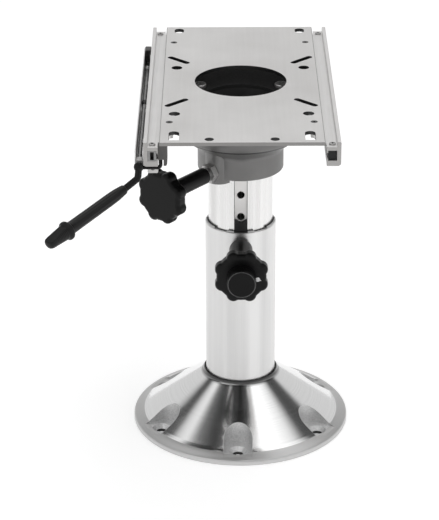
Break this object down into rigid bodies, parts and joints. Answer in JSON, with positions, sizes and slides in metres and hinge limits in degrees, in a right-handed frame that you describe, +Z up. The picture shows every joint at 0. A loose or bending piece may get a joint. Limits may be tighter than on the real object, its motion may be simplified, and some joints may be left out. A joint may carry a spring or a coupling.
{
  "type": "boat seat pedestal",
  "caption": "Boat seat pedestal: round floor base, telescoping column with a height knob, swivel housing with a lock knob, and a fore-aft seat slide with a side lever.",
  "frame": {"origin": "on the column's axis, in the plane the base stands on", "axes": "+Z up along the column, -Y to the front where the height knob points, +X to the right; the lever is on the -X side"},
  "size_m": [0.296, 0.4358, 0.38],
  "materials": {
    "polished_aluminium": "polished",
    "satin_aluminium": "satin",
    "mill_aluminium": "mill finish",
    "cast_aluminium": "as cast",
    "bright_steel": "bright",
    "black_steel": "satin black",
    "grey_steel": "zinc grey",
    "pale_nylon": "moulded",
    "dark_nylon": "moulded",
    "black_plastic": "moulded",
    "black_vinyl": "soft grip"
  },
  "bodies": {
    "stand": {"base": "polished_aluminium", "outer_tube": "satin_aluminium", "column_bushing": "dark_nylon", "knob_boss": "bright_steel"},
    "stem": {"inner_tube": "satin_aluminium", "guide_collar": "pale_nylon", "spindle_plug": "bright_steel", "retaining_washer": "bright_steel", "retaining_nut": "bright_steel"},
    "swivel": {"swivel_housing": "cast_aluminium", "lower_swivel_bushing": "pale_nylon", "upper_swivel_bushing": "pale_nylon", "thrust_washer": "pale_nylon", "swivel_lock_nut": "bright_steel", "lower_plate": "mill_aluminium", "lower_bolts": "bright_steel", "latch_rack": "bright_steel", "left_runner": "pale_nylon", "right_runner": "pale_nylon", "runner_screws": "bright_steel"},
    "seat": {"top_plate": "mill_aluminium", "left_rail": "mill_aluminium", "right_rail": "mill_aluminium", "plate_rivets": "bright_steel", "end_plugs_left": "pale_nylon", "end_plugs_right": "dark_nylon", "plug_screws": "bright_steel", "latch_channel": "black_steel", "channel_rivets": "bright_steel", "front_clip": "grey_steel", "rear_clip": "black_steel", "front_stop": "grey_steel", "rail_lug": "grey_steel", "lever_spring": "bright_steel"},
    "lever": {"lever_rod": "black_steel", "latch_pawl": "black_steel", "lever_grip": "black_vinyl"},
    "height_knob": {"height_knob": "black_plastic", "height_stud": "bright_steel", "pin_bush": "pale_nylon", "pin_spring": "bright_steel"},
    "height_pin": {"lock_pin": "bright_steel", "pin_button": "black_plastic"},
    "swivel_knob": {"swivel_knob": "black_plastic", "swivel_stud": "bright_steel", "swivel_pad": "pale_nylon"}
  },
  "joints": [
    {"name": "height_slide", "type": "slide", "parent": "stand", "child": "stem", "axis": [0, 0, 1], "range_m": [-0.045, 0.08]},
    {"name": "seat_swivel", "type": "hinge", "parent": "stem", "child": "swivel", "pos_m": [0, 0, 0.3], "axis": [0, 0, 1], "continuous": true},
    {"name": "seat_slide", "type": "slide", "parent": "swivel", "child": "seat", "axis": [0, 1, 0], "range_m": [-0.076, 0.076]},
    {"name": "lever_lift", "type": "hinge", "parent": "seat", "child": "lever", "pos_m": [-0.0975, 0, 0.3555], "axis": [0, 1, 0], "range_deg": [0, 18], "stiffness_Nm_per_rad": 0.6, "springref_deg": -17.19},
    {"name": "height_knob_turn", "type": "hinge", "parent": "stand", "child": "height_knob", "pos_m": [0, -0.06, 0.211], "axis": [0, -1, 0], "continuous": true},
    {"name": "pin_pull", "type": "slide", "parent": "height_knob", "child": "height_pin", "axis": [0, -1, 0], "range_m": [0, 0.008], "stiffness_N_per_m": 800, "springref_m": -0.012, "deforming": ["pin_spring"]},
    {"name": "swivel_knob_turn", "type": "hinge", "parent": "swivel", "child": "swivel_knob", "pos_m": [-0.03694, -0.04728, 0.296], "axis": [-0.6157, -0.788, 0], "continuous": true}
  ]
}
